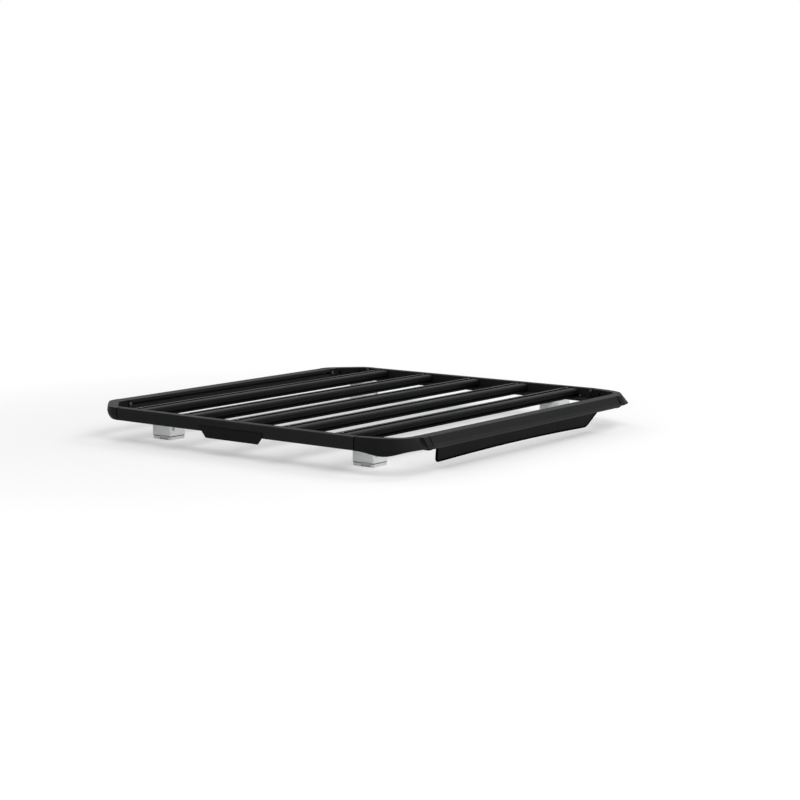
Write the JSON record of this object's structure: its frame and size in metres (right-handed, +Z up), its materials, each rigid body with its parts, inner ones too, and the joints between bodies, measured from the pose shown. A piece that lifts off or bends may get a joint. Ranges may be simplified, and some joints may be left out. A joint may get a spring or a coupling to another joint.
{
  "type": "flat platform roof rack",
  "caption": "Flat roof platform: extruded rail frame with cast corners, slotted cross slats, a wind deflector under the nose, and clamp feet that stand on a roof.",
  "frame": {"origin": "centre of the plan at the level of the pads under the feet", "axes": "+X forward to the nose with the wind deflector, +Y to the left side, +Z up"},
  "size_m": [1.296, 1.333, 0.11],
  "materials": {
    "rail_black": "satin black powder coat",
    "cast_black": "satin black powder coat on a casting",
    "slat_black": "satin black powder coat",
    "black_screw": "black oxide steel",
    "deflector_black": "matt black sheet",
    "plate_black": "matt black moulding",
    "cover_grey": "pale grey moulded cover",
    "base_grey": "pale grey moulded base",
    "pad_rubber": "pale grey rubber pad",
    "clamp_grey": "pale grey coated steel",
    "bolt_steel": "zinc-plated steel"
  },
  "bodies": {
    "root": {"side_rail_right": "rail_black", "side_rail_left": "rail_black", "rear_rail": "rail_black", "front_rail": "rail_black", "corner_rear_right": "cast_black", "corner_rear_left": "cast_black", "corner_front_right": "cast_black", "corner_front_left": "cast_black", "slat_1": "slat_black", "slat_2": "slat_black", "slat_3": "slat_black", "slat_4": "slat_black", "slat_5": "slat_black", "slat_screws": "black_screw", "wind_deflector": "deflector_black", "deflector_screws": "black_screw", "side_plate": "plate_black", "foot_base_rear_right": "base_grey", "foot_base_rear_left": "base_grey", "foot_base_front_right": "base_grey", "foot_base_front_left": "base_grey", "foot_cover_rear_right": "cover_grey", "foot_cover_rear_left": "cover_grey", "foot_cover_front_right": "cover_grey", "foot_cover_front_left": "cover_grey", "foot_pad_rear_right": "pad_rubber", "foot_pad_rear_left": "pad_rubber", "foot_pad_front_right": "pad_rubber", "foot_pad_front_left": "pad_rubber", "foot_clamp_rear_right": "clamp_grey", "foot_clamp_rear_left": "clamp_grey", "foot_clamp_front_right": "clamp_grey", "foot_clamp_front_left": "clamp_grey", "foot_bolts_rear_right": "bolt_steel", "foot_bolts_rear_left": "bolt_steel", "foot_bolts_front_right": "bolt_steel", "foot_bolts_front_left": "bolt_steel"}
  },
  "joints": []
}
